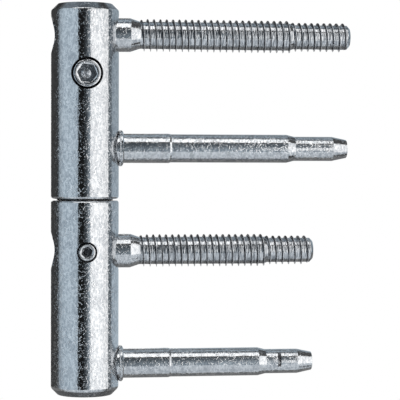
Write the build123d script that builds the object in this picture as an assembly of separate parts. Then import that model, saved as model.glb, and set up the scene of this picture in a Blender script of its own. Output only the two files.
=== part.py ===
from build123d import *
import os

# Barrel hinge for a wooden door. Sizes in millimetres.
# +Z is the swing axis, +X the way the studs point and -Y the side of the grub screws.
# The origin is the centre of the lower barrel's bottom face.

# Barrels
barrel_radius = 10.0
barrel_height = 57.5
end_chamfer = 2.0
seam_edge_radius = 0.8
seam_gap = 0.25
end_offset = 9.0
seam_offset = 15.05

# Fits, as gaps on the radius or along the axis
running_clearance = 0.03
press_clearance = 0.01
axial_play = 0.05

# Swing pin and its bearings
pin_radius = 5.5
pin_tail = 9.95
pin_chamfer = 0.5
bush_wall = 1.0
bush_headroom = 0.5
flange_thickness = 1.2
flange_inset = 1.75
disc_thickness = 1.0
disc_inset = 0.3

# Height screw and the wedge that it climbs
height_screw_drop = 11.7
height_screw_radius = 4.5
height_screw_recess = 0.4
height_travel = 3.0
cone_reach = 1.2
cone_gap = 0.02
wedge_radius = 5.7
wedge_heel = 1.0
wedge_rise = 2.0
wedge_headroom = 1.5

# Clamp screw
clamp_screw_radius = 2.7
clamp_screw_recess = 0.4
dog_radius = 2.0
dog_length = 1.3
dimple_depth = 0.6
dimple_clearance = 0.1

# Hexagon sockets, by their width across flats
height_socket_width = 5.0
clamp_socket_width = 3.0
stud_socket_width = 4.0
height_socket_floor = 5.7
clamp_socket_floor = 2.0
stud_socket_depth = 4.0
pilot_depth = 0.8
screw_chamfer = 0.6
screw_hole_countersink = 0.2

# Threaded studs
web_half_width = 4.2
nose_radius = 3.5
shank_radius = 5.0
neck_length = 3.3
neck_taper = 2.85
thread_radius = 4.8
thread_core_radius = 4.1
tip_thread_radius = 4.3
step_length = 1.3
stud_end_chamfer = 0.7
stud_hole_countersink = 0.72
leaf_stud_length = 69.4
leaf_stud_tip = 17.0
frame_stud_length = 58.3
frame_stud_tip = 13.6

# Spring rings on the studs
ring_thickness = 0.9
ring_groove_depth = 0.4
ring_inset = 0.3
ring_mouth = 3.0
nose_lip = 0.6

# Support pins
spigot_radius = 3.0
spigot_wall = 0.7
collar_radius = 5.35
collar_thickness = 1.15
collar_bevel = 0.35
root_radius = 4.36
root_length = 15.4
support_radius = 4.18
support_taper = 2.25
support_tip_radius = 3.62
support_end_radius = 2.7
support_end_taper = 4.4
leaf_support_length = 68.7
leaf_support_tip = 16.0
frame_support_length = 58.2
frame_support_tip = 14.1

# How far a cutting tool runs past the face that it enters
overrun = 2.0

# Heights along the swing axis
frame_top = barrel_height
leaf_bottom = frame_top + seam_gap
leaf_top = leaf_bottom + barrel_height
frame_support_z = end_offset
frame_stud_z = frame_top - seam_offset
leaf_support_z = leaf_bottom + seam_offset
leaf_stud_z = leaf_top - end_offset
height_screw_z = leaf_stud_z - height_screw_drop

# The wedge face rises towards +Y at 45 degrees, parallel to the lowest line of the screw's cone.
wedge_face_z = height_screw_z - cone_reach - cone_gap
wedge_toe_z = wedge_face_z - wedge_radius
wedge_bottom = wedge_toe_z - wedge_heel
wedge_top = height_screw_z + wedge_rise
pin_bottom = frame_stud_z - pin_tail
pin_top = wedge_bottom - disc_thickness
bush_top = wedge_bottom - height_travel - bush_headroom
bush_radius = pin_radius + running_clearance + bush_wall
flange_radius = barrel_radius - flange_inset
flange_top = frame_top + flange_thickness
spigot_length = barrel_radius - bush_radius - spigot_wall

# Planes whose first axis is the line that a piece is turned about
ALONG_X = Plane.XY
ALONG_Y = Plane.YZ
ALONG_Z = Plane.ZX


def turned(plane, outline):
    """Solid of revolution from (place along the axis, radius) points, closed along the axis."""
    first = outline[0][0]
    last = outline[-1][0]
    points = [(first, 0), *outline, (last, 0)]
    corners = [point for point, before in zip(points, [None, *points]) if point != before]
    face = make_face(plane * Polyline(*corners, close=True))
    return revolve(face, axis=Axis(plane.origin, plane.x_dir))


def hex_socket(plane, width, depth):
    """Hexagonal prism with a drill point below it, entering along the plane's normal."""
    prism = extrude(plane * RegularPolygon(width / 2, 6, major_radius=False), depth)
    pilot = plane.offset(depth) * Cone(
        width / 2, 0, pilot_depth, align=(Align.CENTER, Align.CENTER, Align.MIN)
    )
    return prism + pilot


def barrel_blank():
    """Plain barrel standing on its bevelled free end, with its seam end up."""
    blank = Cylinder(barrel_radius, barrel_height, align=(Align.CENTER, Align.CENTER, Align.MIN))
    blank = chamfer(blank.edges().group_by(Axis.Z)[0], end_chamfer)
    return fillet(blank.edges().group_by(Axis.Z)[-1], seam_edge_radius)


def stud_seat(z):
    """Cross hole for a stud: wide from both sides, narrow through the web in the middle."""
    wide = shank_radius + running_clearance
    mouth = wide + stud_hole_countersink
    lip = barrel_radius - stud_hole_countersink
    past = barrel_radius + overrun
    right = [
        (web_half_width, nose_radius + running_clearance),
        (web_half_width, wide),
        (lip, wide),
        (barrel_radius, mouth),
        (past, mouth),
    ]
    left = [(-x, radius) for x, radius in reversed(right)]
    return Pos(0, 0, z) * turned(ALONG_X, left + right)


def spigot_hole(z):
    """Blind hole in the barrel's side for the root of a support pin."""
    floor = barrel_radius - spigot_length - axial_play
    radius = spigot_radius + press_clearance
    return Pos(0, 0, z) * turned(ALONG_X, [(floor, radius), (barrel_radius + overrun, radius)])


def screw_hole(z, radius, inner_outline):
    """Tapped hole from the -Y side, with a small countersink at its mouth."""
    hole = radius + running_clearance
    mouth = hole + screw_hole_countersink
    outline = [
        (-barrel_radius - overrun, mouth),
        (-barrel_radius, mouth),
        (screw_hole_countersink - barrel_radius, hole),
        *inner_outline,
    ]
    return Pos(0, 0, z) * turned(ALONG_Y, outline)


def make_frame_barrel():
    """Lower barrel, bored from the seam for the swing pin."""
    bore_radius = pin_radius + press_clearance
    bore = turned(ALONG_Z, [(pin_bottom, bore_radius), (frame_top + overrun, bore_radius)])
    thread = [(-dog_radius, clamp_screw_radius + running_clearance)]
    clamp_hole = screw_hole(frame_stud_z, clamp_screw_radius, thread)
    cuts = [bore, stud_seat(frame_stud_z), spigot_hole(frame_support_z), clamp_hole]
    return barrel_blank() - cuts


def make_leaf_barrel():
    """Upper barrel, bored from the seam in steps for the bush flange, the bush and the wedge."""
    flange_hole = flange_radius + press_clearance
    bush_hole = bush_radius + press_clearance
    wedge_hole = wedge_radius + running_clearance
    bore_steps = [
        (leaf_bottom - overrun, flange_hole),
        (flange_top, flange_hole),
        (flange_top, bush_hole),
        (bush_top, bush_hole),
        (bush_top, wedge_hole),
        (wedge_top + wedge_headroom, wedge_hole),
    ]
    drill_radius = height_screw_radius + running_clearance
    drill_tip = cone_reach + height_travel + axial_play
    drill_point = [(drill_tip - drill_radius, drill_radius), (drill_tip, 0)]
    height_hole = screw_hole(height_screw_z, height_screw_radius, drill_point)
    cuts = [
        turned(ALONG_Z, bore_steps),
        stud_seat(leaf_stud_z),
        spigot_hole(leaf_support_z),
        height_hole,
    ]
    return Pos(0, 0, leaf_top) * Rot(180, 0, 0) * barrel_blank() - cuts


def make_hinge_pin():
    """Swing pin, cross drilled and spot faced for the stud, dimpled for the clamp screw."""
    blank = turned(
        ALONG_Z,
        [
            (pin_bottom, pin_radius - pin_chamfer),
            (pin_bottom + pin_chamfer, pin_radius),
            (pin_top - pin_chamfer, pin_radius),
            (pin_top, pin_radius - pin_chamfer),
        ],
    )
    dimple_radius = dog_radius + dimple_clearance
    dimple = turned(
        ALONG_Y,
        [(-pin_radius - overrun, dimple_radius), (dimple_depth - pin_radius, dimple_radius)],
    )
    return blank - [stud_seat(frame_stud_z), Pos(0, 0, frame_stud_z) * dimple]


def make_bearing_bush():
    """Flanged plain bearing, whose flange keeps the two barrels apart."""
    outside = turned(
        ALONG_Z,
        [
            (frame_top, flange_radius),
            (flange_top, flange_radius),
            (flange_top, bush_radius),
            (bush_top, bush_radius),
        ],
    )
    bore_radius = pin_radius + running_clearance
    return outside - turned(
        ALONG_Z, [(frame_top - overrun, bore_radius), (bush_top + overrun, bore_radius)]
    )


def make_bearing_disc():
    """Thrust disc between the top of the pin and the wedge."""
    radius = pin_radius - disc_inset
    return turned(ALONG_Z, [(pin_top, radius), (wedge_bottom, radius)])


def make_lift_wedge():
    """Round plug with a 45 degree face that looks up towards the height screw."""
    side = [
        (-wedge_radius, wedge_bottom),
        (wedge_radius, wedge_bottom),
        (wedge_radius, wedge_top),
        (wedge_top - wedge_face_z, wedge_top),
        (-wedge_radius, wedge_toe_z),
    ]
    slab = extrude(make_face(Plane.YZ * Polyline(*side, close=True)), wedge_radius, both=True)
    return slab & turned(ALONG_Z, [(wedge_bottom, wedge_radius), (wedge_top, wedge_radius)])


def make_height_screw():
    """Grub screw with a 45 degree cone point and a hexagon socket."""
    head = height_screw_recess - barrel_radius
    blank = turned(
        ALONG_Y,
        [
            (head, height_screw_radius - screw_chamfer),
            (head + screw_chamfer, height_screw_radius),
            (cone_reach - height_screw_radius, height_screw_radius),
            (cone_reach, 0),
        ],
    )
    depth = cone_reach - head - height_socket_floor
    entry = Plane((0, head, 0), x_dir=(1, 0, 0), z_dir=(0, 1, 0))
    return Pos(0, 0, height_screw_z) * (blank - hex_socket(entry, height_socket_width, depth))


def make_clamp_screw():
    """Grub screw whose dog point sits in the dimple of the pin."""
    head = clamp_screw_recess - barrel_radius
    tip = dimple_depth - pin_radius - axial_play
    blank = turned(
        ALONG_Y,
        [
            (head, clamp_screw_radius - screw_chamfer),
            (head + screw_chamfer, clamp_screw_radius),
            (tip - dog_length, clamp_screw_radius),
            (tip - dog_length, dog_radius),
            (tip, dog_radius),
        ],
    )
    depth = tip - head - clamp_socket_floor
    entry = Plane((0, head, 0), x_dir=(1, 0, 0), z_dir=(0, 1, 0))
    return Pos(0, 0, frame_stud_z) * (blank - hex_socket(entry, clamp_socket_width, depth))


# The spring ring stands just outside the web, between the web and the lip of the stud's nose.
ring_inner_x = -web_half_width - axial_play
ring_outer_x = ring_inner_x - ring_thickness
groove_outer_x = ring_outer_x - axial_play
nose_end_x = groove_outer_x - nose_lip
groove_radius = nose_radius - ring_groove_depth


def make_stud(z, length, tip_length):
    """Turning stud: grooved nose, smooth neck, and plain rods at the crests of its two threads."""
    shoulder = web_half_width + axial_play
    neck_end = barrel_radius + neck_length
    thread_start = neck_end + neck_taper
    run_in = thread_radius - thread_core_radius
    end = barrel_radius + length
    step = end - tip_length
    blank = turned(
        ALONG_X,
        [
            (nose_end_x, nose_radius),
            (groove_outer_x, nose_radius),
            (groove_outer_x, groove_radius),
            (ring_inner_x, groove_radius),
            (ring_inner_x, nose_radius),
            (shoulder, nose_radius),
            (shoulder, shank_radius),
            (neck_end, shank_radius),
            (thread_start, thread_core_radius),
            (thread_start + run_in, thread_radius),
            (step - step_length, thread_radius),
            (step, tip_thread_radius),
            (end - stud_end_chamfer, tip_thread_radius),
            (end, tip_thread_radius - stud_end_chamfer),
        ],
    )
    entry = Plane((nose_end_x, 0, 0), x_dir=(0, 1, 0), z_dir=(1, 0, 0))
    return Pos(0, 0, z) * (blank - hex_socket(entry, stud_socket_width, stud_socket_depth))


def make_stud_ring(z):
    """Open spring ring in the groove of a stud's nose."""
    outer = shank_radius - ring_inset
    hole = groove_radius + press_clearance
    ring = turned(ALONG_X, [(ring_outer_x, outer), (ring_inner_x, outer)])
    ring -= turned(ALONG_X, [(ring_outer_x - overrun, hole), (ring_inner_x + overrun, hole)])
    mouth = Box(
        ring_thickness + overrun, ring_mouth, outer, align=(Align.CENTER, Align.CENTER, Align.MAX)
    )
    return Pos(0, 0, z) * (ring - Pos(ring_inner_x - ring_thickness / 2, 0, 0) * mouth)


def make_support_pin(z, length, tip_length):
    """Smooth stepped pin with a collar, pressed into the barrel's side."""
    collar_back = barrel_radius + axial_play
    collar_front = collar_back + collar_thickness
    end = barrel_radius + length
    tip = end - tip_length
    return Pos(0, 0, z) * turned(
        ALONG_X,
        [
            (barrel_radius - spigot_length, spigot_radius),
            (collar_back, spigot_radius),
            (collar_back, collar_radius - collar_bevel),
            (collar_back + collar_bevel, collar_radius),
            (collar_front - collar_bevel, collar_radius),
            (collar_front, collar_radius - collar_bevel),
            (collar_front, root_radius),
            (barrel_radius + root_length, root_radius),
            (barrel_radius + root_length, support_radius),
            (tip - support_taper, support_radius),
            (tip, support_tip_radius),
            (end - support_end_taper, support_tip_radius),
            (end, support_end_radius),
        ],
    )


pieces = {
    "frame_barrel": make_frame_barrel(),
    "hinge_pin": make_hinge_pin(),
    "bearing_disc": make_bearing_disc(),
    "frame_support_pin": make_support_pin(frame_support_z, frame_support_length, frame_support_tip),
    "frame_stud": make_stud(frame_stud_z, frame_stud_length, frame_stud_tip),
    "frame_stud_ring": make_stud_ring(frame_stud_z),
    "clamp_screw": make_clamp_screw(),
    "leaf_barrel": make_leaf_barrel(),
    "bearing_bush": make_bearing_bush(),
    "leaf_support_pin": make_support_pin(leaf_support_z, leaf_support_length, leaf_support_tip),
    "leaf_stud": make_stud(leaf_stud_z, leaf_stud_length, leaf_stud_tip),
    "leaf_stud_ring": make_stud_ring(leaf_stud_z),
    "height_screw": make_height_screw(),
    "lift_wedge": make_lift_wedge(),
}

os.makedirs("parts", exist_ok=True)
for node, piece in pieces.items():
    export_step(piece, f"parts/{node}.step")
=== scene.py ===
from math import cos, radians, sin

import bmesh
import bpy
from mathutils import Euler, Matrix, Vector


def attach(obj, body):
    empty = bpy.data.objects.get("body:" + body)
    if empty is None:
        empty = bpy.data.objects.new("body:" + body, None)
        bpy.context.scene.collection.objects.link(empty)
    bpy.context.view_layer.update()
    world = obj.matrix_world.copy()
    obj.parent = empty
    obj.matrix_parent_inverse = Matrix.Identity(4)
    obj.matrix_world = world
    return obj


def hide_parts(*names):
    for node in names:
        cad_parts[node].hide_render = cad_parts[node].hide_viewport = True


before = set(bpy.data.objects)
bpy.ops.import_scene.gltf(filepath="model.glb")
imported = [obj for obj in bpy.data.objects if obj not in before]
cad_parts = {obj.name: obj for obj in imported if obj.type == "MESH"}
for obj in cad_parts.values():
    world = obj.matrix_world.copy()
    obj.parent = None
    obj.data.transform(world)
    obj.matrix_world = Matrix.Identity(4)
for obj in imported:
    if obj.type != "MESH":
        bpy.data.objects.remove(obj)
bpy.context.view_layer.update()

bpy.context.scene.view_settings.view_transform = "Standard"

# Barrels: two lengths of 20 mm steel bar, turned with a bevelled free end and a rounded seam end.
# They are bored from the seam, cross drilled for the studs, tapped for the grub screws,
# and plated bright with zinc, whose crystals leave fine flecks all over.
mm = 0.001
near = 0.001 * mm
barrel_radius = 10.0 * mm
frame_top = 57.5 * mm
leaf_bottom = 57.75 * mm
leaf_top = 115.25 * mm
end_chamfer = 2.0 * mm
seam_rounding = 0.8 * mm
seam_relief = 0.1 * mm
edge_break = 0.12 * mm
overrun = 2.0 * mm
frame_support_z = 9.0 * mm
frame_stud_z = 42.45 * mm
leaf_support_z = 72.8 * mm
leaf_stud_z = 106.25 * mm
height_screw_z = 94.55 * mm
clamp_screw_z = frame_stud_z
along_x = (0, radians(90), 0)
along_y = (radians(-90), 0, 0)
along_z = (0, 0, 0)


def pick(piece):
    """Makes a piece the only one that the next operations work on."""
    bpy.ops.object.select_all(action="DESELECT")
    bpy.context.view_layer.objects.active = piece
    piece.select_set(True)


def lay(piece, height, lie):
    """Turns a piece made along Z to its own axis, and lifts it to its height."""
    piece.rotation_euler = lie
    piece.location = (0, 0, height)
    bpy.ops.object.transform_apply(location=True, rotation=True, scale=True)


def turned(name, outline, height=0, lie=along_z, corners=96):
    """Solid of revolution, grown ring by ring from (distance, radius) points and laid along its axis."""
    start, radius = outline[0]
    bpy.ops.object.select_all(action="DESELECT")
    bpy.ops.mesh.primitive_circle_add(
        vertices=corners, radius=radius, fill_type="NGON", location=(0, 0, start)
    )
    piece = bpy.context.object
    piece.name = name
    piece.data.name = name
    bpy.ops.object.transform_apply(location=True, rotation=True, scale=True)
    bpy.ops.object.mode_set(mode="EDIT")
    bpy.ops.mesh.select_all(action="SELECT")
    for (before, wide), (along, next_wide) in zip(outline, outline[1:]):
        bpy.ops.mesh.extrude_region_move(TRANSFORM_OT_translate={"value": (0, 0, along - before)})
        grow = next_wide / wide
        bpy.ops.transform.resize(value=(grow, grow, 1), center_override=(0, 0, along))
    bpy.ops.mesh.select_all(action="SELECT")
    bpy.ops.mesh.normals_make_consistent(inside=False)
    bpy.ops.object.mode_set(mode="OBJECT")
    lay(piece, height, lie)
    return piece


def combine(piece, tool, operation="DIFFERENCE"):
    """Cuts with, joins or keeps within a tool body, which is used up."""
    pick(piece)
    work = piece.modifiers.new("work", "BOOLEAN")
    work.operation = operation
    work.solver = "MANIFOLD"
    work.object = tool
    bpy.ops.object.modifier_apply(modifier=work.name)
    piece.data.materials.clear()
    spent = tool.data
    bpy.data.objects.remove(tool)
    bpy.data.meshes.remove(spent)


def soften(piece, inside, width, segments):
    """Bevels the edges whose both ends pass the test."""
    pick(piece)
    bpy.ops.object.mode_set(mode="EDIT")
    bpy.ops.mesh.select_mode(type="EDGE")
    bpy.ops.mesh.select_all(action="DESELECT")
    shape = bmesh.from_edit_mesh(piece.data)
    for edge in shape.edges:
        edge.select_set(all(inside(corner.co) for corner in edge.verts))
    bmesh.update_edit_mesh(piece.data)
    bpy.ops.mesh.bevel(offset=width, segments=segments, profile=0.5, affect="EDGES")
    bpy.ops.object.mode_set(mode="OBJECT")


def smooth(piece):
    """Shades round faces smoothly, and lets the large faces set the normals."""
    sharp_from = radians(32)
    pick(piece)
    bpy.ops.object.mode_set(mode="EDIT")
    bpy.ops.mesh.select_all(action="SELECT")
    bpy.ops.mesh.remove_doubles(threshold=near)
    bpy.ops.mesh.normals_make_consistent(inside=False)
    bpy.ops.object.mode_set(mode="OBJECT")
    bpy.ops.object.shade_smooth_by_angle(angle=sharp_from)
    even = piece.modifiers.new("even", "WEIGHTED_NORMAL")
    even.keep_sharp = True
    even.weight = 100
    bpy.ops.object.modifier_apply(modifier=even.name)


def barrel(name, free_end, seam_end, foot_rounding):
    """Bar with a bevel at its free end and a rounding at its seam end."""
    length = abs(seam_end - free_end)
    middle = (free_end + seam_end) / 2
    bpy.ops.object.select_all(action="DESELECT")
    bpy.ops.mesh.primitive_cylinder_add(
        vertices=192, radius=barrel_radius, depth=length, location=(0, 0, middle)
    )
    piece = bpy.context.object
    piece.name = name
    piece.data.name = name
    bpy.ops.object.transform_apply(location=True, rotation=True, scale=True)
    inwards = 1 if seam_end > free_end else -1
    chamfer_foot = free_end + inwards * end_chamfer
    rim = barrel_radius - near
    soften(piece, lambda place: abs(place.z - free_end) < near, end_chamfer, 1)
    soften(piece, lambda place: abs(place.z - chamfer_foot) < near, foot_rounding, 5)
    soften(piece, lambda place: abs(place.z - free_end) < near, edge_break, 2)
    soften(piece, lambda place: abs(place.z - seam_end) < near and place.xy.length > rim, seam_rounding, 6)
    return piece


def stud_seat(height):
    """Cross hole for a stud: wide from both sides, countersunk, and narrow through the web."""
    narrow = 3.53 * mm
    wide = 5.03 * mm
    mouth = 5.75 * mm
    lip = 9.28 * mm
    web = 4.2 * mm
    right = [
        (web, narrow),
        (web, wide),
        (lip, wide),
        (barrel_radius, mouth),
        (barrel_radius + overrun, mouth),
    ]
    left = [(-along, radius) for along, radius in reversed(right)]
    return turned("stud_seat", left + right, height, along_x, 128)


def spigot_hole(height):
    """Blind hole for the root of a support pin."""
    bottom = 7.18 * mm
    radius = 3.01 * mm
    return turned("spigot_hole", [(bottom, radius), (barrel_radius + overrun, radius)], height, along_x)


def tapped_hole(height, mouth, radius, pitch, inner_end):
    """Hole from the grub screw side, with a worn mouth and the grooves of its thread."""
    groove = radius + 0.45 * pitch
    groove_from = 0.45 * pitch
    groove_to = 0.55 * pitch
    land = 0.01 * pitch
    worn_depth = 1.5 * mm
    worn_slope = 0.1 * mm
    worn_to = worn_depth - barrel_radius
    place = worn_to + worn_slope
    outline = [(-barrel_radius - overrun, mouth), (worn_to, mouth), (place, radius)]
    while place + pitch < inner_end[0][0]:
        outline += [(place, radius), (place + groove_from, groove), (place + groove_to, groove)]
        place += pitch
        outline.append((place, radius))
        place += land
    return turned("tapped_hole", outline + inner_end, height, along_y)


frame_foot_rounding = 0.6 * mm
pin_bore = 5.51 * mm
pin_bore_bottom = 32.5 * mm
clamp_mouth = 3.0 * mm
clamp_hole = 2.73 * mm
clamp_pitch = 1.0 * mm
clamp_hole_end = [(-5.0 * mm, clamp_hole)]
frame_barrel = barrel("lower_barrel", 0, frame_top - seam_relief, frame_foot_rounding)
combine(frame_barrel, turned("pin_bore", [(pin_bore_bottom, pin_bore), (frame_top + overrun, pin_bore)]))
combine(frame_barrel, stud_seat(frame_stud_z))
combine(frame_barrel, spigot_hole(frame_support_z))
combine(frame_barrel, tapped_hole(clamp_screw_z, clamp_mouth, clamp_hole, clamp_pitch, clamp_hole_end))
smooth(frame_barrel)

leaf_foot_rounding = 0.3 * mm
flange_seat = 8.26 * mm
flange_seat_top = 58.7 * mm
bush_seat = 6.54 * mm
bush_seat_top = 83.13 * mm
wedge_bore = 5.73 * mm
wedge_bore_top = 98.05 * mm
bush_bore = [
    (leaf_bottom - overrun, flange_seat),
    (flange_seat_top, flange_seat),
    (flange_seat_top, bush_seat),
    (bush_seat_top, bush_seat),
    (bush_seat_top, wedge_bore),
    (wedge_bore_top, wedge_bore),
]
height_mouth = 4.68 * mm
height_hole = 4.53 * mm
height_pitch = 1.5 * mm
drill_point = [(-0.28 * mm, height_hole), (4.2 * mm, 0.05 * mm)]
leaf_barrel = barrel("upper_barrel", leaf_top, leaf_bottom + seam_relief, leaf_foot_rounding)
combine(leaf_barrel, turned("bush_bore", bush_bore))
combine(leaf_barrel, stud_seat(leaf_stud_z))
combine(leaf_barrel, spigot_hole(leaf_support_z))
combine(leaf_barrel, tapped_hole(height_screw_z, height_mouth, height_hole, height_pitch, drill_point))
smooth(leaf_barrel)


def add_node(tree, kind, inputs, **settings):
    """Adds a shader node, whose inputs are plain values or other nodes' outputs."""
    made = tree.nodes.new(kind)
    for name, value in settings.items():
        setattr(made, name, value)
    for name, value in inputs.items():
        if isinstance(value, bpy.types.NodeSocket):
            tree.links.new(value, made.inputs[name])
        else:
            made.inputs[name].default_value = value
    return made


def ramp(tree, value, low, high, to_low, to_high):
    """Eases a value from one range into another."""
    eased = add_node(
        tree,
        "ShaderNodeMapRange",
        {"Value": value, "From Min": low, "From Max": high, "To Min": to_low, "To Max": to_high},
        interpolation_type="SMOOTHSTEP",
    )
    return eased.outputs["Result"]


def reckon(tree, operation, *values):
    """One sum on plain values."""
    return add_node(tree, "ShaderNodeMath", dict(enumerate(values)), operation=operation).outputs[0]


def reckon_places(tree, operation, *places):
    """One sum on places, as the node that does it."""
    return add_node(tree, "ShaderNodeVectorMath", dict(enumerate(places)), operation=operation)


def noise(tree, place, scale, detail):
    """Random cloudy pattern, as the node that makes it."""
    return add_node(tree, "ShaderNodeTexNoise", {"Vector": place, "Scale": scale, "Detail": detail})


def mix(tree, share, first, second):
    """Colour that goes from the first to the second with the share."""
    mixed = add_node(tree, "ShaderNodeMix", {0: share, 6: first, 7: second}, data_type="RGBA")
    return mixed.outputs[2]


def finish_group(name, inputs):
    """Empty finish with its sockets, as (group, what goes in, what comes out)."""
    group = bpy.data.node_groups.new(name, "ShaderNodeTree")
    colour_kind = "NodeSocketColor"
    value_kind = "NodeSocketFloat"
    group.interface.new_socket(name="Place", in_out="INPUT", socket_type="NodeSocketVector")
    for socket, value in inputs.items():
        kind = colour_kind if isinstance(value, tuple) else value_kind
        made = group.interface.new_socket(name=socket, in_out="INPUT", socket_type=kind)
        made.default_value = value
    for socket, kind in (("Colour", colour_kind), ("Roughness", value_kind), ("Height", value_kind)):
        group.interface.new_socket(name=socket, in_out="OUTPUT", socket_type=kind)
    return group, group.nodes.new("NodeGroupInput").outputs, group.nodes.new("NodeGroupOutput").inputs


def put_results(group, put_out, colour, rough, relief):
    """Links the three results of a finish to its sockets."""
    group.links.new(colour, put_out["Colour"])
    group.links.new(rough, put_out["Roughness"])
    group.links.new(relief, put_out["Height"])


def nicks(tree, place, scale, width, length, share):
    """Short straight nicks, one in some cells of a random pattern, each its own way round."""
    cells = add_node(tree, "ShaderNodeTexVoronoi", {"Vector": place, "Scale": scale, "Randomness": 1})
    from_middle = reckon_places(tree, "SUBTRACT", place, cells.outputs["Position"]).outputs[0]
    lean = reckon_places(tree, "SUBTRACT", cells.outputs["Color"], (0.5, 0.5, 0.5)).outputs[0]
    across = reckon_places(tree, "NORMALIZE", lean).outputs[0]
    off = reckon_places(tree, "DOT_PRODUCT", from_middle, across).outputs["Value"]
    far = reckon_places(tree, "LENGTH", from_middle).outputs["Value"]
    groove = ramp(tree, reckon(tree, "ABSOLUTE", off), 0, width, 1, 0)
    reach = ramp(tree, far, 0.6 * length, length, 1, 0)
    chosen = add_node(tree, "ShaderNodeSeparateColor", {0: cells.outputs["Color"]})
    there = reckon(tree, "LESS_THAN", chosen.outputs[0], share)
    return reckon(tree, "MULTIPLY", reckon(tree, "MULTIPLY", groove, reach), there)


zinc_flecks, given, put_out = finish_group(
    "zinc_flecks",
    {
        "Light Zinc": (0.87, 0.88, 0.89, 1),
        "Dull Zinc": (0.5, 0.53, 0.56, 1),
        "Flecks": 1.0,
        "Streaks": 0.0,
        "Roughness": 0.1,
    },
)
place = given["Place"]
drift = noise(zinc_flecks, place, scale=700, detail=1)
drift_reach = (0.0006, 0.0006, 0.0006)
bent = reckon_places(zinc_flecks, "MULTIPLY_ADD", drift.outputs["Color"], drift_reach, place)
stretched = add_node(zinc_flecks, "ShaderNodeMapping", {"Vector": place, "Scale": (1, 1, 0.55)})
around = add_node(zinc_flecks, "ShaderNodeMapping", {"Vector": place, "Scale": (1, 0.1, 0.1)})
worms = noise(zinc_flecks, bent.outputs[0], scale=1300, detail=1).outputs["Fac"]
patches = noise(zinc_flecks, place, scale=110, detail=2).outputs["Fac"]
peel = noise(zinc_flecks, place, scale=620, detail=1).outputs["Fac"]
specks = noise(zinc_flecks, stretched.outputs[0], scale=1800, detail=2).outputs["Fac"]
blotches = noise(zinc_flecks, stretched.outputs[0], scale=620, detail=3).outputs["Fac"]
streaks = noise(zinc_flecks, around.outputs[0], scale=3900, detail=1).outputs["Fac"]

long_nicks = nicks(zinc_flecks, place, scale=950, width=0.13 * mm, length=0.65 * mm, share=0.65)
short_nicks = nicks(zinc_flecks, place, scale=1800, width=0.1 * mm, length=0.33 * mm, share=0.6)
all_nicks = reckon(zinc_flecks, "MAXIMUM", long_nicks, reckon(zinc_flecks, "MULTIPLY", short_nicks, 0.7))
fleck = ramp(zinc_flecks, worms, 0.6, 0.76, 0, 1)
crowd = ramp(zinc_flecks, patches, 0.35, 0.7, 0.6, 1.2)
marks = reckon(zinc_flecks, "ADD", fleck, reckon(zinc_flecks, "MULTIPLY", all_nicks, 1.4))
marks = reckon(zinc_flecks, "MULTIPLY", marks, crowd)
marks = reckon(zinc_flecks, "MULTIPLY", marks, given["Flecks"])

blotch_grey = (0.45, 0.47, 0.5, 1)
nick_white = (0.98, 0.98, 0.99, 1)
streak_grey = (0.3, 0.32, 0.34, 1)
cloud = ramp(zinc_flecks, specks, 0.34, 0.66, 0, 1)
worn = reckon(zinc_flecks, "MULTIPLY", cloud, ramp(zinc_flecks, patches, 0.35, 0.65, 0.7, 1))
streak = reckon(zinc_flecks, "MULTIPLY", ramp(zinc_flecks, streaks, 0.4, 0.56, 1, 0), given["Streaks"])
colour = mix(zinc_flecks, worn, given["Light Zinc"], given["Dull Zinc"])
colour = mix(zinc_flecks, ramp(zinc_flecks, blotches, 0.48, 0.64, 0, 0.5), colour, blotch_grey)
colour = mix(zinc_flecks, ramp(zinc_flecks, marks, 0.15, 0.9, 0, 1), colour, nick_white)
colour = mix(zinc_flecks, streak, colour, streak_grey)
rough = reckon(zinc_flecks, "ADD", given["Roughness"], reckon(zinc_flecks, "MULTIPLY", marks, 0.06))
grooves = reckon(zinc_flecks, "MULTIPLY", streaks, given["Streaks"])
relief = reckon(zinc_flecks, "ADD", marks, reckon(zinc_flecks, "MULTIPLY", peel, 0.35))
relief = reckon(zinc_flecks, "ADD", relief, reckon(zinc_flecks, "MULTIPLY", grooves, 3.5))
put_results(zinc_flecks, put_out, colour, rough, relief)


def finish_material(name, group, values, bump_depth, metallic=1.0):
    """Material whose colour, roughness and bump come from a finish group."""
    made = bpy.data.materials.new(name)
    made.use_nodes = True
    tree = made.node_tree
    shader = tree.nodes["Principled BSDF"]
    shader.inputs["Metallic"].default_value = metallic
    where = add_node(tree, "ShaderNodeTexCoord", {})
    finish = tree.nodes.new("ShaderNodeGroup")
    finish.node_tree = group
    for socket, value in values.items():
        finish.inputs[socket].default_value = value
    tree.links.new(where.outputs["Object"], finish.inputs["Place"])
    tree.links.new(finish.outputs["Colour"], shader.inputs["Base Color"])
    tree.links.new(finish.outputs["Roughness"], shader.inputs["Roughness"])
    relief = {"Strength": 1.0, "Distance": bump_depth, "Height": finish.outputs["Height"]}
    bump = add_node(tree, "ShaderNodeBump", relief)
    tree.links.new(bump.outputs["Normal"], shader.inputs["Normal"])
    return made


def zinc_material(name, light, dull, roughness, bump_depth, metallic=1.0, **more):
    """Zinc finish with its own two colours, and its own share of flecks and streaks where given."""
    values = {"Light Zinc": light, "Dull Zinc": dull, "Roughness": roughness, **more}
    return finish_material(name, zinc_flecks, values, bump_depth, metallic)


def give_finishes(piece, finishes, finish_of):
    """Gives a piece its finishes, and each face the one that the test names for it."""
    for finish in finishes:
        piece.data.materials.append(finish)
    for face in piece.data.polygons:
        face.material_index = finishes.index(finish_of(face))


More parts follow.
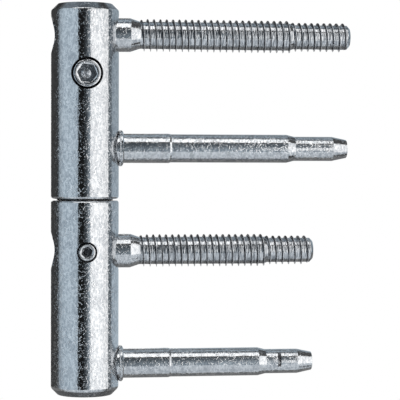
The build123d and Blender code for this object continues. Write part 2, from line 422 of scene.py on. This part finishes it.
plated_steel = finish_material("plated_steel", zinc_flecks, {}, 0.02 * mm)
# Painted shade: a darker copy of the plating, for the bevels of the barrels' free ends and the floors of
# the screws' sockets.
shaded_zinc = zinc_material(
    "shaded_zinc", (0.4, 0.41, 0.43, 1), (0.24, 0.25, 0.26, 1), 0.2, 0.01 * mm, Flecks=0.6
)
# Painted shadow: a near black copy of the plating, for the tapped holes, the saw cut, the screws' threads
# and small sockets, and the feet of the stud's thread.
painted_shadow = zinc_material(
    "painted_shadow", (0.15, 0.15, 0.16, 1), (0.06, 0.06, 0.065, 1), 0.4, 0.01 * mm, Flecks=0.5
)


def on_bevel(face):
    """Whether a face is on the bevel of a barrel's free end."""
    bevel_inside = 8 * mm
    from_end = min(face.center.z, leaf_top - face.center.z)
    sloping = 0.6 < abs(face.normal.z) < 0.8
    return from_end < end_chamfer and sloping and face.center.xy.length > bevel_inside


def in_tapped_hole(face):
    """Whether a face is in one of the two grub screw holes."""
    place = face.center
    skin = barrel_radius - 0.03 * mm
    screw_side = -2 * mm
    large_reach = 5.4 * mm
    small_reach = 3.4 * mm
    in_large = Vector((place.x, place.z - height_screw_z)).length < large_reach
    in_small = Vector((place.x, place.z - clamp_screw_z)).length < small_reach
    return place.xy.length < skin and place.y < screw_side and (in_large or in_small)


def barrel_finish(face):
    """Painted shade on the bevel, painted shadow in the tapped holes."""
    if on_bevel(face):
        return shaded_zinc
    return painted_shadow if in_tapped_hole(face) else plated_steel


barrels = ((frame_barrel, "frame_barrel", "frame_part"), (leaf_barrel, "leaf_barrel", "leaf_part"))
for piece, node, body in barrels:
    give_finishes(piece, (plated_steel, shaded_zinc, painted_shadow), barrel_finish)
    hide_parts(node)
    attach(piece, body)

# Swing pin and lift wedge: ground steel, oiled, hidden in the bores.
# The pin is pressed into the lower barrel and cross drilled for the stud;
# the wedge carries the upper barrel on the cone of the height screw.
ground_marks, given, put_out = finish_group(
    "ground_marks",
    {
        "Light Steel": (0.62, 0.62, 0.62, 1),
        "Dark Steel": (0.42, 0.42, 0.43, 1),
        "Roughness": 0.25,
    },
)
place = given["Place"]
ring_place = add_node(ground_marks, "ShaderNodeMapping", {"Vector": place, "Scale": (0.03, 0.03, 1)})
rings = noise(ground_marks, ring_place.outputs[0], scale=6000, detail=3).outputs["Fac"]
film = noise(ground_marks, place, scale=260, detail=3).outputs["Fac"]
dark_rings = ramp(ground_marks, rings, 0.35, 0.7, 0, 1)
colour = mix(ground_marks, dark_rings, given["Light Steel"], given["Dark Steel"])
rough = reckon(ground_marks, "ADD", given["Roughness"], ramp(ground_marks, film, 0.4, 0.7, 0, 0.15))
put_results(ground_marks, put_out, colour, rough, rings)
bare_steel = finish_material("bare_steel", ground_marks, {}, 0.004 * mm)
for node in ("hinge_pin", "lift_wedge"):
    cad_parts[node].data.materials.clear()
    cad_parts[node].data.materials.append(bare_steel)

# Bush and disc: black bearing plastic, moulded.
# The bush lines the upper barrel, and the edge of its flange is the dark line in the seam;
# the disc lies between the pin and the wedge.
moulded_grain, given, put_out = finish_group(
    "moulded_grain",
    {
        "Black": (0.018, 0.018, 0.020, 1),
        "Rubbed Black": (0.035, 0.035, 0.037, 1),
        "Roughness": 0.5,
    },
)
place = given["Place"]
grain = noise(moulded_grain, place, scale=2400, detail=2).outputs["Fac"]
rubbed = noise(moulded_grain, place, scale=220, detail=3).outputs["Fac"]
pale = ramp(moulded_grain, rubbed, 0.4, 0.7, 0, 1)
colour = mix(moulded_grain, pale, given["Black"], given["Rubbed Black"])
rough = reckon(moulded_grain, "ADD", given["Roughness"], ramp(moulded_grain, rubbed, 0.4, 0.7, 0, 0.15))
put_results(moulded_grain, put_out, colour, rough, grain)
bearing_plastic = finish_material("bearing_plastic", moulded_grain, {}, 0.01 * mm, 0.0)
for node in ("bearing_bush", "bearing_disc"):
    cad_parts[node].data.materials.clear()
    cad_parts[node].data.materials.append(bearing_plastic)

# Support pins: turned steel rods, plated like the barrels.
# They are pressed into the barrels' sides as far as a thin collar;
# a shoulder ends the thicker root, and a taper leads to the thinner tip.
collar_back = 10.05 * mm
collar_front = 11.2 * mm
collar_bevel = 0.35 * mm
root_end = 25.4 * mm
taper_length = 2.25 * mm
plated_pin = finish_material("plated_pin", zinc_flecks, {"Flecks": 0.85}, 0.02 * mm)
# Painted shade: a darker, part-metallic copy of the plating on the collar's back, between collar and
# barrel.
collar_back_shade = zinc_material(
    "collar_back_shade", (0.5, 0.5, 0.5, 1), (0.3, 0.3, 0.31, 1), 0.3, 0.01 * mm, 0.6
)
# Painted highlight: a light, part-metallic copy of the plating, for the crests and front flanks of the
# thread and the small screw's head.
highlight_zinc = zinc_material(
    "highlight_zinc", (0.85, 0.86, 0.87, 1), (0.6, 0.61, 0.62, 1), 0.3, 0.005 * mm, 0.4
)


def ring_of_dents(height):
    """Small balls round the back edge of a collar, which leave the dents of the press tool."""
    count = 26
    ball_radius = 0.45 * mm
    ring_radius = 5.45 * mm
    ring_x = collar_back + 0.1 * mm
    bpy.ops.object.select_all(action="DESELECT")
    bpy.ops.mesh.primitive_uv_sphere_add(segments=16, ring_count=8, radius=ball_radius, location=(0, 0, 0))
    ball = bpy.context.object
    balls = [ball]
    while len(balls) < count:
        copy = ball.copy()
        copy.data = ball.data.copy()
        bpy.context.scene.collection.objects.link(copy)
        balls.append(copy)
    for number, copy in enumerate(balls):
        turn = radians(360 * number / count)
        copy.location = (ring_x, ring_radius * cos(turn), height + ring_radius * sin(turn))
        copy.select_set(True)
    bpy.context.view_layer.objects.active = ball
    bpy.ops.object.transform_apply(location=True, rotation=True, scale=True)
    bpy.ops.object.join()
    return ball


saw_cut_width = 1.0 * mm


def saw_cut(along, height):
    """Block that leaves a short shallow cut across the front of a pin's tip."""
    tilt = radians(14)
    out = 3.95 * mm
    thickness = 2 * mm
    length = 5 * mm
    bpy.ops.object.select_all(action="DESELECT")
    bpy.ops.mesh.primitive_cube_add(size=1, location=(along, -out * cos(tilt), height + out * sin(tilt)))
    block = bpy.context.object
    block.scale = (saw_cut_width, thickness, length)
    block.rotation_euler = (-tilt, 0, 0)
    bpy.ops.object.transform_apply(location=True, rotation=True, scale=True)
    return block


def support_pin(name, height, taper_start, end_start, end, cut_at=None):
    """Pin along +X: spigot, collar set on the round of the barrel, root, shank, tip and tapered end."""
    spigot_start = 7.23 * mm
    spigot_end = 11 * mm
    spigot_radius = 3.0 * mm
    hidden_start = 8.6 * mm
    hidden_radius = 4.3 * mm
    back_radius = 5.1 * mm
    back_bevel = 0.25 * mm
    collar_radius = 5.35 * mm
    front_radius = 5.0 * mm
    root_radius = 4.36 * mm
    shoulder = root_end - 0.5 * mm
    shank_radius = 4.18 * mm
    taper_end = taper_start + taper_length
    tip_radius = 3.62 * mm
    end_radius = 2.7 * mm
    outline = [
        (hidden_start, hidden_radius),
        (collar_back, hidden_radius),
        (collar_back, back_radius),
        (collar_back + back_bevel, collar_radius),
        (collar_front - collar_bevel, collar_radius),
        (collar_front, front_radius),
        (collar_front, root_radius),
        (shoulder, root_radius),
        (root_end, shank_radius),
        (taper_start, shank_radius),
        (taper_end, tip_radius),
        (end_start, tip_radius),
        (end, end_radius),
    ]
    piece = turned(name, outline, height, along_x, 128)
    for along in (shoulder, root_end):
        soften(piece, lambda place: abs(place.x - along) < near, 0.5 * edge_break, 2)
    for along in (taper_start, taper_end, end_start, end):
        soften(piece, lambda place: abs(place.x - along) < near, edge_break, 2)
    saddle = barrel_radius + 0.02 * mm
    saddle_reach = 10 * mm
    saddle_outline = [(height - saddle_reach, saddle), (height + saddle_reach, saddle)]
    spigot_outline = [(spigot_start, spigot_radius), (spigot_end, spigot_radius)]
    combine(piece, turned("saddle", saddle_outline, corners=192))
    combine(piece, turned("spigot", spigot_outline, height, along_x), "UNION")
    combine(piece, ring_of_dents(height))
    if cut_at:
        combine(piece, saw_cut(cut_at, height))
    smooth(piece)
    facing_back = -0.9
    front_side = -2 * mm
    below_skin = tip_radius - 0.02 * mm
    cut_half = 0.51 * saw_cut_width

    def pin_finish(face):
        """Painted shade on the collar's back, painted shadow in the saw cut."""
        if abs(face.center.x - collar_back) < near and face.normal.x < facing_back:
            return collar_back_shade
        in_front = face.center.y < front_side
        sunk = (face.center.yz - Vector((0, height))).length < below_skin
        if cut_at and abs(face.center.x - cut_at) < cut_half and in_front and sunk:
            return painted_shadow
        return plated_pin

    give_finishes(piece, (plated_pin, collar_back_shade, painted_shadow), pin_finish)
    return piece


frame_support = support_pin(
    "lower_support_pin",
    frame_support_z,
    taper_start=51.85 * mm,
    end_start=63.8 * mm,
    end=68.2 * mm,
    cut_at=58.1 * mm,
)
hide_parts("frame_support_pin")
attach(frame_support, "frame_part")
leaf_support = support_pin(
    "upper_support_pin", leaf_support_z, taper_start=60.45 * mm, end_start=74.3 * mm, end=78.7 * mm
)
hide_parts("leaf_support_pin")
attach(leaf_support, "leaf_part")

# Threaded studs: steel bars that turn in the cross holes of the barrels,
# with a coarse wood thread rolled on in two diameters and plated like the rest.
# A key goes through the far side of the barrel into the hexagon socket in the stud's nose.
thread_pitch = 1.9 * mm
thread_start = 16.15 * mm
thread_core = 4.04 * mm
tip_core = 3.62 * mm
rolled_zinc = zinc_material(
    "rolled_zinc",
    (0.9, 0.91, 0.92, 1),
    (0.72, 0.74, 0.77, 1),
    0.1,
    0.02 * mm,
    Flecks=0.5,
    Streaks=0.9,
)
# Painted shade: a darker copy of the plating for the back flanks of the thread.
shaded_flank = zinc_material(
    "shaded_flank", (0.32, 0.33, 0.35, 1), (0.19, 0.2, 0.21, 1), 0.28, 0.01 * mm
)


def thread_ridge(name, height, start, end, root, crest):
    """Helical ridge from start to end, with its foot a little below the root of the thread."""
    foot = root - 0.25 * mm
    crest_half = 0.04 * mm
    # Corners of its section from the back foot over the crest to the front foot, as (radius, distance).
    corners = (
        (foot, -0.5 * mm),
        (root + 0.02 * mm, -0.44 * mm),
        (root + 0.04 * mm, -0.17 * mm),
        (crest, -crest_half),
        (crest, crest_half),
        (foot, 0.2 * mm),
    )
    bpy.ops.object.select_all(action="DESELECT")
    bpy.ops.mesh.primitive_circle_add(
        vertices=len(corners), radius=1, fill_type="NGON", location=(0, 0, 0)
    )
    piece = bpy.context.object
    piece.name = name
    bpy.ops.object.mode_set(mode="EDIT")
    shape = bmesh.from_edit_mesh(piece.data)
    ring = list(shape.faces)[0].verts
    for corner, (out, along) in zip(ring, corners):
        corner.co = (out, 0, start + along)
    bmesh.update_edit_mesh(piece.data)
    bpy.ops.mesh.select_all(action="SELECT")
    bpy.ops.mesh.delete(type="ONLY_FACE")
    bpy.ops.object.mode_set(mode="OBJECT")
    wind = piece.modifiers.new("wind", "SCREW")
    wind.axis = "Z"
    wind.angle = radians(360)
    wind.screw_offset = thread_pitch
    wind.iterations = round((end - start) / thread_pitch)
    wind.steps = 64
    wind.render_steps = 64
    wind.use_smooth_shade = True
    bpy.ops.object.modifier_apply(modifier=wind.name)
    bpy.ops.object.mode_set(mode="EDIT")
    bpy.ops.mesh.select_all(action="SELECT")
    bpy.ops.mesh.remove_doubles(threshold=near)
    bpy.ops.mesh.fill_holes(sides=len(corners))
    bpy.ops.mesh.normals_make_consistent(inside=False)
    bpy.ops.object.mode_set(mode="OBJECT")
    lay(piece, height, along_x)
    return piece


def cut_socket(piece, height, lie, head, width, depth, pilot_radius, turn=0):
    """Cuts a hexagon socket into the end at head, with a countersunk mouth and the pilot hole below."""
    radius = width / 2 / cos(radians(30))
    turned_lie = (lie[0], lie[1] + radians(turn), lie[2])
    hexagon = [(head - overrun, radius), (head + depth, radius)]
    combine(piece, turned("hexagon", hexagon, height, turned_lie, 6))
    mouth = 1.09 * radius
    flare_depth = 0.4 * mm
    flare_width = 0.7 * mm
    flare = [(head - overrun, mouth), (head, mouth), (head + flare_depth, mouth - flare_width)]
    combine(piece, turned("flare", flare, height, lie))
    pilot_bottom = head + depth + 0.3 * mm
    drill_point_length = 1.2 * pilot_radius
    pilot = [
        (head + 0.5 * depth, pilot_radius),
        (pilot_bottom, pilot_radius),
        (pilot_bottom + drill_point_length, 0.1 * mm),
    ]
    combine(piece, turned("pilot", pilot, height, lie))


def stud(name, height, step, end):
    """Turning stud with its grooved nose, neck, threads and hexagon socket."""
    nose = -5.8 * mm
    nose_radius = 3.5 * mm
    groove_start = -5.2 * mm
    groove_end = -4.25 * mm
    groove_radius = 3.1 * mm
    shoulder = 4.25 * mm
    neck_radius = 5.0 * mm
    neck_end = 13.3 * mm
    step_start = step - 1.3 * mm
    end_bevel = 0.8 * mm
    end_radius = 2.82 * mm
    core = [
        (nose, nose_radius),
        (groove_start, nose_radius),
        (groove_start, groove_radius),
        (groove_end, groove_radius),
        (groove_end, nose_radius),
        (shoulder, nose_radius),
        (shoulder, neck_radius),
        (neck_end, neck_radius),
        (thread_start, thread_core),
        (step_start, thread_core),
        (step, tip_core),
        (end - end_bevel, tip_core),
        (end, end_radius),
    ]
    step_rounding = 0.15 * mm
    piece = turned(name, core, height, along_x)
    for along in (neck_end, thread_start, step_start, step):
        soften(piece, lambda place: abs(place.x - along) < near, step_rounding, 2)

    main_crest = 4.8 * mm
    main_limit = 4.86 * mm
    main_fades_in = thread_start - 0.6 * mm
    main_reach = [
        (main_fades_in, 3.8 * mm),
        (thread_start + 0.9 * mm, main_limit),
        (step_start, main_limit),
        (step + 0.4 * mm, 3.6 * mm),
    ]
    tip_crest = 4.3 * mm
    tip_limit = 4.36 * mm
    tip_reach = [
        (step_start, tip_limit),
        (end - 1.9 * mm, tip_limit),
        (end - 1.0 * mm, 3.3 * mm),
    ]
    first_turn = thread_start - 2 * thread_pitch - 0.5 * mm
    last_turn = end + 2 * thread_pitch
    main_ridge = thread_ridge("main_ridge", height, first_turn, last_turn, thread_core, main_crest)
    combine(main_ridge, turned("main_reach", main_reach, height, along_x), "INTERSECT")
    combine(piece, main_ridge, "UNION")
    tip_ridge = thread_ridge("tip_ridge", height, first_turn, last_turn, tip_core, tip_crest)
    combine(tip_ridge, turned("tip_reach", tip_reach, height, along_x), "INTERSECT")
    combine(piece, tip_ridge, "UNION")

    key_width = 4.0 * mm
    key_depth = 4.0 * mm
    key_pilot = 1.2 * mm
    cut_socket(piece, height, along_x, nose, key_width, key_depth, key_pilot)
    smooth(piece)
    core_skin = 0.015 * mm
    foot_height = 0.12 * mm
    facing_back = -0.4

    def stud_finish(face):
        """Plated on the nose and neck; the thread's core has its own, the back flanks painted shade, the
        edges painted highlight and the feet painted shadow.
        """
        along = face.center.x
        if along < main_fades_in:
            return plated_steel
        out = (face.center.yz - Vector((0, height))).length
        above_core = out - (thread_core if along < step else tip_core)
        if along < thread_start or above_core < core_skin:
            return rolled_zinc
        # Painted shade on the back flanks, painted highlight on the crests and front flanks, painted
        # shadow at the feet.
        if face.normal.x < facing_back:
            return shaded_flank
        return highlight_zinc if above_core > foot_height else painted_shadow

    thread_finishes = (plated_steel, rolled_zinc, shaded_flank, highlight_zinc, painted_shadow)
    give_finishes(piece, thread_finishes, stud_finish)
    return piece


frame_stud = stud("lower_stud", frame_stud_z, step=54.7 * mm, end=68.3 * mm)
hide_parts("frame_stud")
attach(frame_stud, "frame_stud")
leaf_stud = stud("upper_stud", leaf_stud_z, step=62.4 * mm, end=79.4 * mm)
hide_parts("leaf_stud")
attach(leaf_stud, "leaf_stud")

# Spring rings: open rings of dark spring steel in the grooves of the studs' noses.
# They are snapped on from the key side and keep the studs from pulling out.
spring_steel = finish_material(
    "spring_steel",
    ground_marks,
    {"Light Steel": (0.22, 0.22, 0.23, 1), "Dark Steel": (0.13, 0.13, 0.14, 1), "Roughness": 0.32},
    0.004 * mm,
)
for node in ("frame_stud_ring", "leaf_stud_ring"):
    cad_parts[node].data.materials.clear()
    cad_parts[node].data.materials.append(spring_steel)

# Grub screws: cold headed steel screws with hexagon sockets, plated, screwed into the barrels' sides.
# The large one climbs the wedge with its cone, and the small one holds the pin with its dog point.
screw_steel = zinc_material(
    "screw_steel", (0.92, 0.93, 0.94, 1), (0.74, 0.75, 0.77, 1), 0.38, 0.01 * mm, Flecks=0.6
)


def grub_screw(name, height, outline, head_finish, socket, turn, dark_within):
    """Screw along +Y from its head; the socket is given as its width, depth and pilot hole's radius."""
    socket_width, socket_depth, pilot_radius = socket
    head = outline[0][0]
    piece = turned(name, outline, height, along_y)
    cut_socket(piece, height, along_y, head, socket_width, socket_depth, pilot_radius, turn)
    smooth(piece)
    rim = outline[1][1]
    below_head = head + 0.01 * mm
    socket_from = below_head + 0.6 * mm
    level = 0.98
    upright = 0.3

    def screw_finish(face):
        """Painted shadow on the thread and deep in a small socket, painted shade on the socket's floor;
        the slopes have their own.
        """
        out = Vector((face.center.x, face.center.z - height)).length
        deep = face.center.y > socket_from
        facing = abs(face.normal.y)
        if out > rim or (deep and out < dark_within):
            return painted_shadow
        if deep and facing > level:
            return shaded_zinc
        in_pilot = deep and out < pilot_radius and facing < level
        on_flare = face.center.y > below_head and upright < facing < level
        return plated_pin if in_pilot or on_flare else head_finish

    give_finishes(piece, (head_finish, painted_shadow, plated_pin, shaded_zinc), screw_finish)
    return piece


height_outline = [
    (-9.6 * mm, 3.5 * mm),
    (-9.4 * mm, 3.95 * mm),
    (-8.4 * mm, 3.97 * mm),
    (-8.0 * mm, 4.5 * mm),
    (-3.3 * mm, 4.5 * mm),
    (1.2 * mm, 0.05 * mm),
]
height_socket = (5.2 * mm, 4.3 * mm, 1.45 * mm)
height_screw = grub_screw(
    "height_screw_piece",
    height_screw_z,
    height_outline,
    screw_steel,
    height_socket,
    turn=37,
    dark_within=0,
)
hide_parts("height_screw")
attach(height_screw, "height_screw")
clamp_outline = [
    (-9.6 * mm, 2.15 * mm),
    (-9.5 * mm, 2.42 * mm),
    (-8.6 * mm, 2.43 * mm),
    (-8.3 * mm, 2.7 * mm),
    (-6.25 * mm, 2.7 * mm),
    (-6.25 * mm, 2.0 * mm),
    (-4.95 * mm, 2.0 * mm),
]
clamp_socket = (3.1 * mm, 2.65 * mm, 0.9 * mm)
clamp_screw = grub_screw(
    "clamp_screw_piece",
    clamp_screw_z,
    clamp_outline,
    highlight_zinc,
    clamp_socket,
    turn=12,
    dark_within=1.8 * mm,
)
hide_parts("clamp_screw")
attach(clamp_screw, "clamp_screw")

# Studio: a pale round floor below the hinge, soft boxes to the right, left and above,
# and grey cards and dark flags round about, which only the polished metal sees.
floor_z = -140 * mm
floor_radius = 0.42
bpy.ops.object.select_all(action="DESELECT")
bpy.ops.mesh.primitive_circle_add(
    vertices=128, radius=floor_radius, fill_type="NGON", location=(0.03, 0, floor_z)
)
floor = bpy.context.object
floor.name = "floor"
floor_paint = bpy.data.materials.new("floor_paint")
floor_paint.use_nodes = True
floor_shader = floor_paint.node_tree.nodes["Principled BSDF"]
floor_shader.inputs["Base Color"].default_value = (0.74, 0.79, 0.84, 1)
floor_shader.inputs["Roughness"].default_value = 0.9
floor.data.materials.append(floor_paint)


def glow(name, colour, strength, fades):
    """Glowing surface; a fade is an axis, two places along it and the share of light at the first."""
    made = bpy.data.materials.new(name)
    made.use_nodes = True
    tree = made.node_tree
    tree.nodes.remove(tree.nodes["Principled BSDF"])
    light = add_node(tree, "ShaderNodeEmission", {"Color": (*colour, 1), "Strength": strength})
    where = add_node(tree, "ShaderNodeTexCoord", {})
    axes = add_node(tree, "ShaderNodeSeparateXYZ", {0: where.outputs["Object"]})
    level = strength
    for axis, first, last, share in fades:
        level = reckon(tree, "MULTIPLY", ramp(tree, axes.outputs[axis], first, last, share, 1), level)
        tree.links.new(level, light.inputs["Strength"])
    tree.links.new(light.outputs[0], tree.nodes["Material Output"].inputs["Surface"])
    return made


def card(name, corners, colour, strength, fades=()):
    """Four-cornered card that only reflections see."""
    bpy.ops.object.select_all(action="DESELECT")
    bpy.ops.mesh.primitive_plane_add(size=1)
    piece = bpy.context.object
    piece.name = name
    bpy.ops.object.mode_set(mode="EDIT")
    shape = bmesh.from_edit_mesh(piece.data)
    for corner, place in zip(list(shape.faces)[0].verts, corners):
        corner.co = place
    bmesh.update_edit_mesh(piece.data)
    bpy.ops.object.mode_set(mode="OBJECT")
    piece.data.materials.append(glow(name, colour, strength, fades))
    piece.visible_camera = False
    piece.visible_diffuse = False
    piece.visible_shadow = False


def standing_card(name, turn_from, turn_to, bottom, top, colour, strength, fades=(), reach=1.0):
    """Upright card between two bearings, counted from the front towards +X."""
    ends = []
    for turn in (turn_from, turn_to):
        ends.append((reach * sin(radians(turn)), -reach * cos(radians(turn))))
    (x0, y0), (x1, y1) = ends
    corners = [(x0, y0, bottom), (x1, y1, bottom), (x1, y1, top), (x0, y0, top)]
    card(name, corners, colour, strength, fades)


def lying_card(name, x0, x1, y0, y1, z, colour, strength):
    """Level card."""
    card(name, [(x0, y0, z), (x1, y0, z), (x1, y1, z), (x0, y1, z)], colour, strength)


grey = (1, 1, 1)
blue_grey = (0.76, 0.89, 1.0)
left_fades = (("X", -0.951, -0.85, 0.05), ("X", -0.85, -0.75, 0.8))
standing_card("left_panel", -108, -27, -0.6, 0.9, blue_grey, 0.68, left_fades)
standing_card("left_flag", -172, -108, -0.8, 0.9, grey, 0.052)
standing_card("front_flag", -27, -6, -0.42, 1.0, grey, 0.012)
front_fades = (("X", 0.0, 0.2, 0.15), ("Z", 0.55, 0.08, 0.48), ("Z", 0.12, -0.02, 0.77))
standing_card("front_card", -6, 19, -0.42, 1.0, blue_grey, 0.43, front_fades, 1.02)
box_fades = (("X", 0.85, 0.6, 0.86), ("Z", -0.05, 0.1, 1.07))
standing_card("right_box", 19, 82, -0.6, 0.9, grey, 1.18, box_fades)
standing_card("box_foot", 14, 19, -0.2, 0.27, grey, 1.18, (("Z", 0.27, 0.2, 0.1),))
standing_card("right_flag", 82, 99, -0.8, 0.9, blue_grey, 0.17)
standing_card("right_card", 99, 172, -0.8, 0.9, blue_grey, 0.44, (("Z", -0.05, 0.1, 1.4),))
lying_card("top_box", -0.45, 0.3, -0.64, -0.11, 0.85, grey, 1.35)
lying_card("top_card", -1.2, 0.32, -0.11, 0.1, 0.86, blue_grey, 0.2)
lying_card("side_flag", 0.32, 1.2, -1.2, 1.0, 0.86, grey, 0.09)
lying_card("rear_card", -1.2, 0.32, 0.1, 0.55, 0.86, blue_grey, 0.46)
lying_card("rear_flag", -1.2, 1.2, 0.55, 1.6, 0.86, grey, 0.17)
lying_card("top_flag", -1.2, 1.2, -1.2, -0.11, 0.92, grey, 0.07)
low_z = floor_z + 10 * mm
lying_card("low_flag", -1.0, 1.0, 0.0, 1.0, low_z, grey, 0.2)
lying_card("low_side_flag", 0.15, 0.7, -0.09, 0.0, low_z, grey, 0.08)


def lamp(name, place, aim, width, height, colour, power):
    """Soft box that lights the floor and the plastic, and is not seen itself."""
    light = bpy.data.lights.new(name, "AREA")
    light.shape = "RECTANGLE"
    light.size = width
    light.size_y = height
    light.color = colour
    light.energy = power
    made = bpy.data.objects.new(name, light)
    bpy.context.scene.collection.objects.link(made)
    made.location = place
    made.rotation_euler = (Vector(aim) - Vector(place)).to_track_quat("-Z", "Y").to_euler()
    made.visible_camera = False
    made.visible_glossy = False


middle = (0.03, 0, 0.055)
lamp("top_lamp", (-0.1, -0.45, 0.85), middle, 0.8, 0.8, (1, 1, 1), 3.6)
lamp("right_lamp", (0.7, -0.6, 0.3), middle, 0.9, 0.9, (1, 1, 1), 2.4)
lamp("left_lamp", (-0.8, -0.4, 0.3), middle, 0.9, 0.9, (0.85, 0.93, 1.0), 1.2)

world = bpy.data.worlds.new("white_room")
bpy.context.scene.world = world
world.use_nodes = True
room = world.node_tree
room.nodes.clear()
rays = add_node(room, "ShaderNodeLightPath", {})
seen = reckon(room, "MAXIMUM", rays.outputs["Is Camera Ray"], rays.outputs["Is Glossy Ray"])
seen = reckon(room, "MAXIMUM", seen, rays.outputs["Is Transmission Ray"])
soft_light = add_node(room, "ShaderNodeBackground", {"Color": (1, 1, 1, 1), "Strength": 0.4})
white = add_node(room, "ShaderNodeBackground", {"Color": (1, 1, 1, 1), "Strength": 1.0})
both = add_node(room, "ShaderNodeMixShader", {0: seen, 1: soft_light.outputs[0], 2: white.outputs[0]})
add_node(room, "ShaderNodeOutputWorld", {"Surface": both.outputs[0]})

camera_data = bpy.data.cameras.new("camera")
camera_data.sensor_width = 36
camera_data.lens = 156.4
camera_data.clip_start = 0.01
camera = bpy.data.objects.new("camera", camera_data)
bpy.context.scene.collection.objects.link(camera)
camera_place = (-37.23 * mm, -513.21 * mm, 69.73 * mm)
look_down = 1.358
look_right = 7.943
roll = Matrix.Rotation(radians(0.164), 3, "Z")
aim = Euler((radians(90 - look_down), 0, radians(-look_right))).to_matrix() @ roll
camera.matrix_world = Matrix.Translation(camera_place) @ aim.to_4x4()
bpy.context.scene.camera = camera
